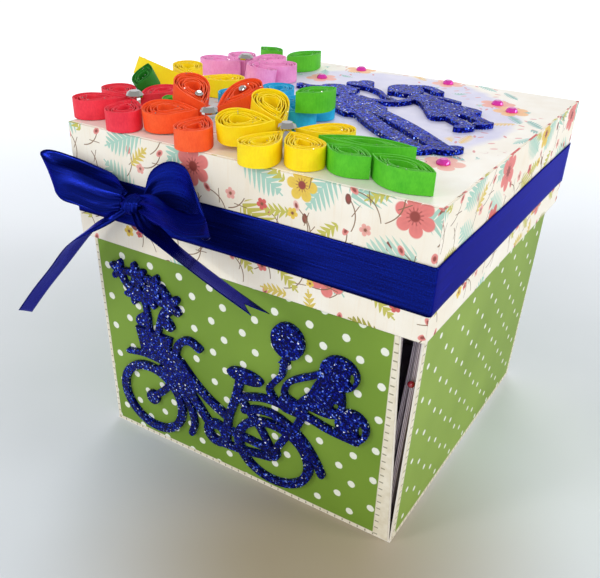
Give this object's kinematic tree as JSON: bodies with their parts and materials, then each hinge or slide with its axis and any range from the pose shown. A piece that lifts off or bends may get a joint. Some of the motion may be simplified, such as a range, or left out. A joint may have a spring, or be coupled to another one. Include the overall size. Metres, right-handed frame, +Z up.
{
  "type": "explosion box",
  "caption": "Handmade card explosion box with a lift-off lid, satin ribbon bow, quilled paper flowers and a glitter foam bicycle.",
  "frame": {"origin": "centre of the underside of the outer layer's floor", "axes": "+Z up, +X to the right seen from the front, the bicycle panel faces -Y"},
  "size_m": [0.1267, 0.1218, 0.1101],
  "materials": {
    "cream_card": "matte",
    "lilac_card": "matte",
    "green_paper": "matte, printed dots",
    "olive_paper": "matte",
    "floral_card": "matte, printed flowers",
    "wreath_paper": "matte, printed wreath",
    "glitter_foam": "glitter",
    "satin": "satin",
    "yellow_paper": "matte",
    "orange_paper": "matte",
    "red_paper": "matte",
    "blue_paper": "matte",
    "pink_paper": "matte",
    "leaf_paper": "matte",
    "dark_leaf_paper": "matte",
    "silver_stone": "faceted",
    "pink_stone": "faceted",
    "red_bead": "gloss"
  },
  "bodies": {
    "box": {"outer_box": "cream_card", "middle_box": "lilac_card", "inner_box": "lilac_card", "corner_bead": "red_bead", "bicycle_cutout": "glitter_foam", "outer_paper_front": "green_paper", "outer_lining_front": "olive_paper", "outer_paper_right": "green_paper", "outer_lining_right": "olive_paper", "outer_paper_back": "green_paper", "outer_lining_back": "olive_paper", "outer_paper_left": "green_paper", "outer_lining_left": "olive_paper"},
    "lid": {"lid_tray": "floral_card", "lid_top_paper": "wreath_paper", "children_cutout": "glitter_foam", "ribbon_band": "satin", "bow_knot": "satin", "bow_loop_left": "satin", "bow_loop_right": "satin", "bow_tail_left": "satin", "bow_tail_right": "satin", "silver_gems": "silver_stone", "pink_gems": "pink_stone", "yellow_petal_1": "yellow_paper", "yellow_petal_2": "yellow_paper", "yellow_petal_3": "yellow_paper", "yellow_petal_4": "yellow_paper", "yellow_petal_5": "yellow_paper", "orange_petal_1": "orange_paper", "orange_petal_2": "orange_paper", "orange_petal_3": "orange_paper", "orange_petal_4": "orange_paper", "red_petal_1": "red_paper", "red_petal_2": "red_paper", "red_petal_3": "red_paper", "red_petal_4": "red_paper", "lemon_petal_1": "yellow_paper", "lemon_petal_2": "yellow_paper", "lemon_petal_3": "yellow_paper", "blue_petal_1": "blue_paper", "blue_petal_2": "blue_paper", "blue_petal_3": "blue_paper", "blue_petal_4": "blue_paper", "pink_petal_1": "pink_paper", "pink_petal_2": "pink_paper", "pink_petal_3": "pink_paper", "pink_petal_4": "pink_paper", "pink_petal_5": "pink_paper", "front_leaf_1": "leaf_paper", "front_leaf_2": "leaf_paper", "front_leaf_3": "leaf_paper", "middle_leaf": "leaf_paper", "back_leaf_1": "leaf_paper", "back_leaf_2": "leaf_paper", "side_leaf": "leaf_paper", "left_leaf": "dark_leaf_paper"}
  },
  "joints": [
    {"name": "lid_lift", "type": "slide", "parent": "box", "child": "lid", "axis": [0, 0, 1], "range_m": [0, 0.15]}
  ]
}
